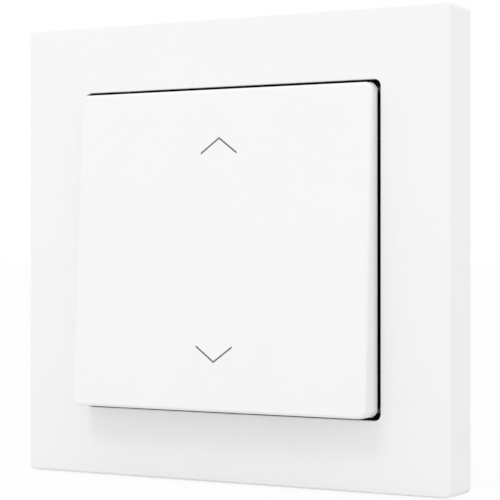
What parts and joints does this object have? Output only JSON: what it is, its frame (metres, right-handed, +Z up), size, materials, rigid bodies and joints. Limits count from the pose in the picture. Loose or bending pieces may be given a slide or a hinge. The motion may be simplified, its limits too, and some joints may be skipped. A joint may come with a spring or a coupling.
{
  "type": "two-way push-button switch",
  "caption": "Flush wall switch: square white cover frame round a large square rocker push button with printed up and down arrows, on an insert with push-in terminals.",
  "frame": {"origin": "centre of the support ring's back face, in the plane of the wall", "axes": "+X right and +Z up as the user sees it, -Y out of the wall to the user, +Y into the wall box"},
  "size_m": [0.0808, 0.039, 0.0808],
  "materials": {
    "cover_white": "satin moulded thermoplastic",
    "rocker_white": "satin moulded thermoplastic",
    "retainer_black": "black moulded plastic",
    "ring_steel": "zinc-plated sheet steel",
    "base_plastic": "light grey moulded thermoset",
    "front_plastic": "dark grey moulded plastic",
    "screw_steel": "zinc-plated screw",
    "cradle_plastic": "black moulded plastic",
    "spring_steel": "bright spring steel",
    "slider_plastic": "cream moulded plastic",
    "bridge_bronze": "phosphor bronze strip",
    "contact_silver": "silver contact buttons",
    "rail_brass": "stamped brass",
    "key_orange": "orange moulded plastic",
    "claw_steel": "zinc-plated sheet steel",
    "claw_screw_steel": "yellow zinc-plated screw"
  },
  "bodies": {
    "insert": {"cover_frame": "cover_white", "clip_frame": "retainer_black", "support_ring": "ring_steel", "base_housing": "base_plastic", "front_housing": "front_plastic", "housing_screw_upper": "screw_steel", "housing_screw_lower": "screw_steel", "return_spring_upper": "spring_steel", "return_spring_lower": "spring_steel", "fixed_contacts": "contact_silver", "rail_common": "rail_brass", "rail_up": "rail_brass", "rail_down": "rail_brass", "clamp_spring_upper_left": "spring_steel", "clamp_spring_lower_left": "spring_steel", "clamp_spring_upper_right": "spring_steel", "clamp_spring_lower_right": "spring_steel"},
    "rocker": {"rocker_cap": "rocker_white", "rocker_cradle": "cradle_plastic"},
    "slider": {"contact_slider": "slider_plastic", "contact_bridge_up": "bridge_bronze", "contact_bridge_down": "bridge_bronze", "moving_contacts": "contact_silver"},
    "key_left": {"release_key_left": "key_orange"},
    "key_right": {"release_key_right": "key_orange"},
    "left_claw": {"claw_left": "claw_steel"},
    "right_claw": {"claw_right": "claw_steel"},
    "left_claw_screw": {"claw_screw_left": "claw_screw_steel"},
    "right_claw_screw": {"claw_screw_right": "claw_screw_steel"}
  },
  "joints": [
    {"name": "rocker_tilt", "type": "hinge", "parent": "insert", "child": "rocker", "pos_m": [0, -0.006, 0], "axis": [1, 0, 0], "range_deg": [-3, 3], "stiffness_Nm_per_rad": 1, "deforming": ["return_spring_upper", "return_spring_lower"]},
    {"name": "slider_travel", "type": "slide", "parent": "insert", "child": "slider", "axis": [0, 0, 1], "range_m": [-0.001, 0.001]},
    {"name": "release_left", "type": "slide", "parent": "insert", "child": "key_left", "axis": [0, -1, 0], "range_m": [0, 0.0012], "stiffness_N_per_m": 400, "deforming": ["clamp_spring_upper_left", "clamp_spring_lower_left"]},
    {"name": "release_right", "type": "slide", "parent": "insert", "child": "key_right", "axis": [0, -1, 0], "range_m": [0, 0.0012], "stiffness_N_per_m": 400, "deforming": ["clamp_spring_upper_right", "clamp_spring_lower_right"]},
    {"name": "claw_left_swing", "type": "hinge", "parent": "insert", "child": "left_claw", "pos_m": [-0.0221, 0.0004, 0], "axis": [0, 0, 1], "range_deg": [0, 15]},
    {"name": "claw_right_swing", "type": "hinge", "parent": "insert", "child": "right_claw", "pos_m": [0.0221, 0.0004, 0], "axis": [0, 0, -1], "range_deg": [0, 15]},
    {"name": "claw_left_screw_turn", "type": "hinge", "parent": "insert", "child": "left_claw_screw", "pos_m": [-0.0242, 0, 0.009], "axis": [0, 1, 0], "range_deg": [0, 443.5]},
    {"name": "claw_right_screw_turn", "type": "hinge", "parent": "insert", "child": "right_claw_screw", "pos_m": [0.0242, 0, -0.009], "axis": [0, 1, 0], "range_deg": [0, 443.5]}
  ],
  "couplings": [
    {"joint": "slider_travel", "follows": "rocker_tilt", "m_per_rad": 0.019},
    {"joint": "claw_left_screw_turn", "follows": "claw_left_swing", "ratio": 29.5},
    {"joint": "claw_right_screw_turn", "follows": "claw_right_swing", "ratio": 29.5}
  ]
}
